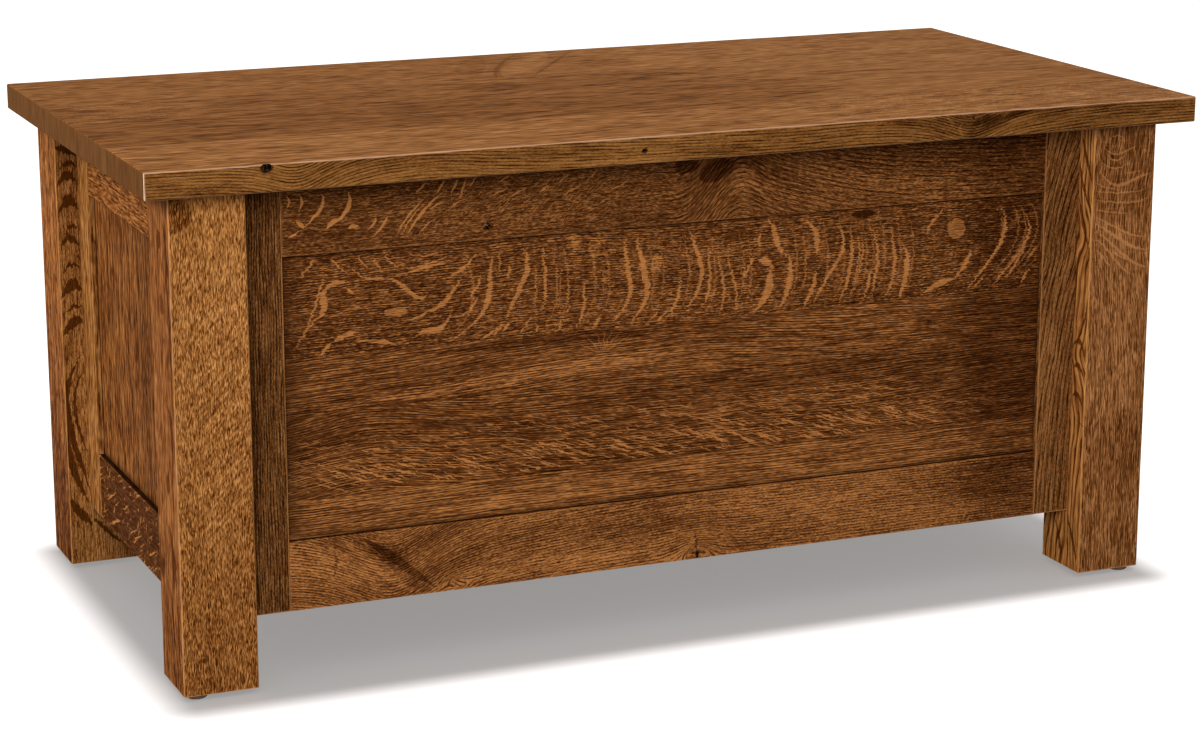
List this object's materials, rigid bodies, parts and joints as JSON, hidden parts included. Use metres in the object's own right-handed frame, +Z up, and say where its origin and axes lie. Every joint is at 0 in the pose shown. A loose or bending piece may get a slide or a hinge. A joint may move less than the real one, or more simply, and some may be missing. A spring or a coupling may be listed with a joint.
{
  "type": "blanket chest",
  "caption": "Low oak blanket chest: square legs, frame-and-panel sides, cedar bottom and a thick overhanging slab lid that hinges open at the back.",
  "frame": {"origin": "on the floor, under the middle of the lid", "axes": "+Z up, front of the chest at -Y, its left side at -X"},
  "size_m": [1.338, 0.677, 0.6217],
  "materials": {
    "oak_lid": "stained oak, satin lacquer",
    "oak_frame": "stained quarter-sawn oak, satin lacquer",
    "oak_panel": "stained quarter-sawn oak with ray flecks, satin lacquer",
    "oak_cleat": "planed oak, unfinished",
    "cedar": "aromatic cedar, unfinished",
    "hinge_steel": "antiqued steel",
    "screw_steel": "plated steel",
    "glide_nylon": "brown nylon",
    "bumper_rubber": "soft, tinted brown"
  },
  "bodies": {
    "case": {"back_bottom_rail": "oak_frame", "back_cleat": "oak_cleat", "back_left_glide": "glide_nylon", "back_left_leg": "oak_frame", "back_left_stile": "oak_frame", "back_panel_board_1": "oak_panel", "back_panel_board_2": "oak_panel", "back_panel_board_3": "oak_panel", "back_panel_board_4": "oak_panel", "back_right_glide": "glide_nylon", "back_right_leg": "oak_frame", "back_right_stile": "oak_frame", "back_top_rail": "oak_frame", "bottom_board_1": "cedar", "bottom_board_2": "cedar", "bottom_board_3": "cedar", "bottom_board_4": "cedar", "bottom_board_5": "cedar", "bottom_board_6": "cedar", "front_bottom_rail": "oak_frame", "front_cleat": "oak_cleat", "front_left_glide": "glide_nylon", "front_left_leg": "oak_frame", "front_left_stile": "oak_frame", "front_panel_board_1": "oak_panel", "front_panel_board_2": "oak_panel", "front_panel_board_3": "oak_panel", "front_panel_board_4": "oak_panel", "front_right_glide": "glide_nylon", "front_right_leg": "oak_frame", "front_right_stile": "oak_frame", "front_top_rail": "oak_frame", "hinge_case_screws": "screw_steel", "hinge_left_case_leaf": "hinge_steel", "hinge_middle_case_leaf": "hinge_steel", "hinge_pins": "hinge_steel", "hinge_right_case_leaf": "hinge_steel", "left_back_stile": "oak_frame", "left_bottom_rail": "oak_frame", "left_cleat": "oak_cleat", "left_front_stile": "oak_frame", "left_panel_narrow_board": "oak_panel", "left_panel_wide_board": "oak_panel", "left_top_rail": "oak_frame", "lid_bumpers": "bumper_rubber", "right_back_stile": "oak_frame", "right_bottom_rail": "oak_frame", "right_cleat": "oak_cleat", "right_front_stile": "oak_frame", "right_panel_narrow_board": "oak_panel", "right_panel_wide_board": "oak_panel", "right_top_rail": "oak_frame"},
    "lid": {"hinge_left_lid_leaf": "hinge_steel", "hinge_lid_screws": "screw_steel", "hinge_middle_lid_leaf": "hinge_steel", "hinge_right_lid_leaf": "hinge_steel", "lid_board_1": "oak_lid", "lid_board_2": "oak_lid", "lid_board_3": "oak_lid", "lid_board_4": "oak_lid"}
  },
  "joints": [
    {"name": "lid_hinge", "type": "hinge", "parent": "case", "child": "lid", "pos_m": [0, 0.332, 0.589], "axis": [-1, 0, 0], "range_deg": [0, 95]}
  ]
}
